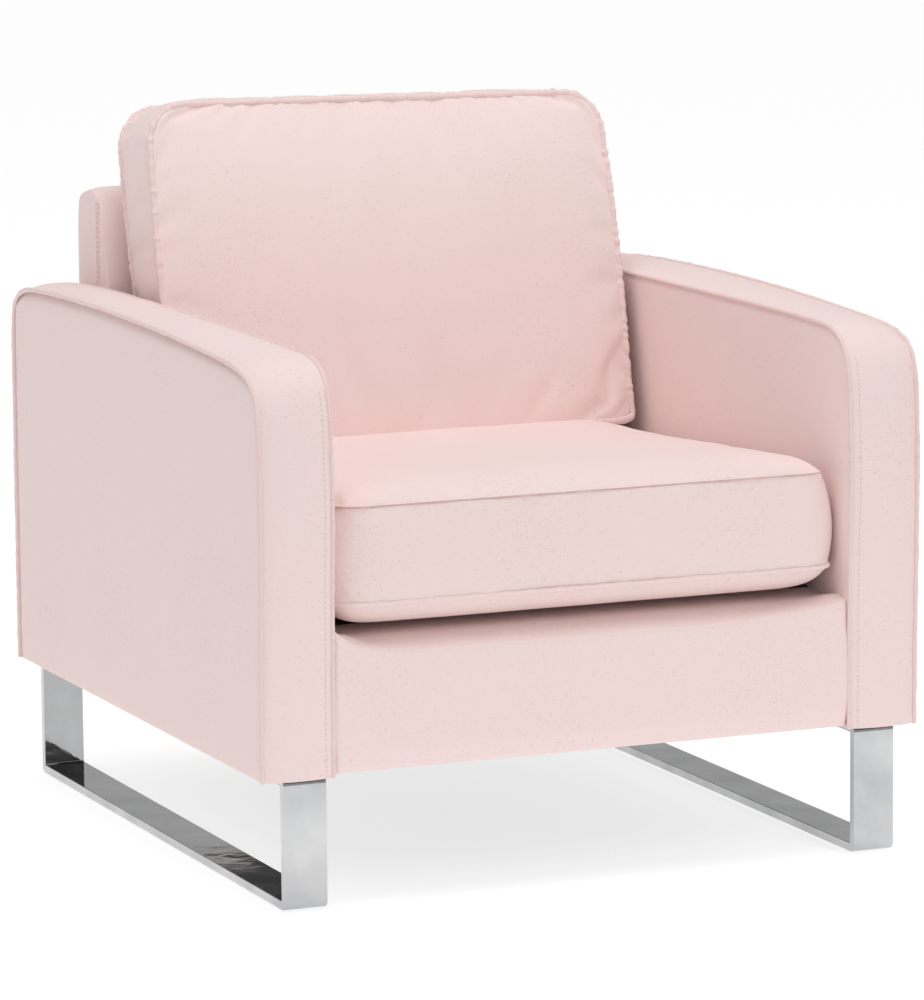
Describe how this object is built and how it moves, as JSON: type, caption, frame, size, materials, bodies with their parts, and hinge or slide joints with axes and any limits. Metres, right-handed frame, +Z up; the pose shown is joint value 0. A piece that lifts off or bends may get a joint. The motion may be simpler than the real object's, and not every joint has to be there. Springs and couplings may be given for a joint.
{
  "type": "upholstered armchair",
  "caption": "Square upholstered armchair with piped box arms, a loose seat cushion, a loose piped back cushion and polished flat-bar sled legs.",
  "frame": {"origin": "on the floor, in the middle of the width over the arms and of the depth from the front of the arms to the outside back", "axes": "+Z up, -Y towards the front where the sitter faces, +X towards the right for someone who looks at the front"},
  "size_m": [0.79, 0.83, 0.8266],
  "materials": {
    "upholstery": "matte",
    "foam": "matte",
    "deck_cloth": "matte",
    "dust_cloth": "matte",
    "webbing": "matte",
    "zip_tape": "matte",
    "timber": "matte",
    "hardboard": "matte",
    "chrome": "polished",
    "zinc_steel": "satin",
    "spring_steel": "satin",
    "zip_metal": "satin",
    "glide_plastic": "matte"
  },
  "bodies": {
    "chair_frame": {"back_frame_bolts": "zinc_steel", "back_lower_rail": "timber", "back_padding": "foam", "back_top_rail": "timber", "back_webbing": "webbing", "deck_cloth": "deck_cloth", "deck_pad": "foam", "dust_cover": "dust_cloth", "dust_cover_staples": "zinc_steel", "frame_tee_nuts": "zinc_steel", "front_rail_cover": "upholstery", "front_rail_padding": "foam", "inside_back_cover": "upholstery", "left_arm_band_cover": "upholstery", "left_arm_base_rail": "timber", "left_arm_front_post": "timber", "left_arm_inner_board": "hardboard", "left_arm_inner_cover": "upholstery", "left_arm_outer_board": "hardboard", "left_arm_outer_cover": "upholstery", "left_arm_padding": "foam", "left_arm_rear_post": "timber", "left_arm_top_rail": "timber", "left_arm_welts": "upholstery", "left_back_stile": "timber", "left_seat_rail": "timber", "left_sled_leg": "chrome", "leg_bolts": "zinc_steel", "leg_tee_nuts": "zinc_steel", "outside_back_cover": "upholstery", "right_arm_band_cover": "upholstery", "right_arm_base_rail": "timber", "right_arm_front_post": "timber", "right_arm_inner_board": "hardboard", "right_arm_inner_cover": "upholstery", "right_arm_outer_board": "hardboard", "right_arm_outer_cover": "upholstery", "right_arm_padding": "foam", "right_arm_rear_post": "timber", "right_arm_top_rail": "timber", "right_arm_welts": "upholstery", "right_back_stile": "timber", "right_seat_rail": "timber", "right_sled_leg": "chrome", "seat_corner_blocks": "timber", "seat_frame_bolts": "zinc_steel", "seat_front_rail": "timber", "seat_rear_rail": "timber", "seat_springs": "spring_steel", "sled_glides": "glide_plastic", "spring_clips": "zinc_steel"},
    "seat_cushion": {"seat_cushion_cover": "upholstery", "seat_foam_core": "foam", "seat_zip_chain": "zip_tape"},
    "seat_zip_slider": {"seat_zip_slider": "zip_metal"},
    "back_cushion": {"back_cushion_cover": "upholstery", "back_cushion_filling": "foam", "back_cushion_welts": "upholstery", "back_zip_chain": "zip_tape"},
    "back_zip_slider": {"back_zip_slider": "zip_metal"}
  },
  "joints": [
    {"name": "seat_cushion_slide", "type": "slide", "parent": "chair_frame", "child": "seat_cushion", "axis": [0, -1, 0], "range_m": [0, 0.66]},
    {"name": "back_cushion_lift", "type": "slide", "parent": "chair_frame", "child": "back_cushion", "axis": [0, 0.2419, 0.9703], "range_m": [0, 0.45]},
    {"name": "seat_zip_run", "type": "slide", "parent": "seat_cushion", "child": "seat_zip_slider", "axis": [1, 0, 0], "range_m": [0, 0.465]},
    {"name": "back_zip_run", "type": "slide", "parent": "back_cushion", "child": "back_zip_slider", "axis": [1, 0, 0], "range_m": [0, 0.465]}
  ]
}
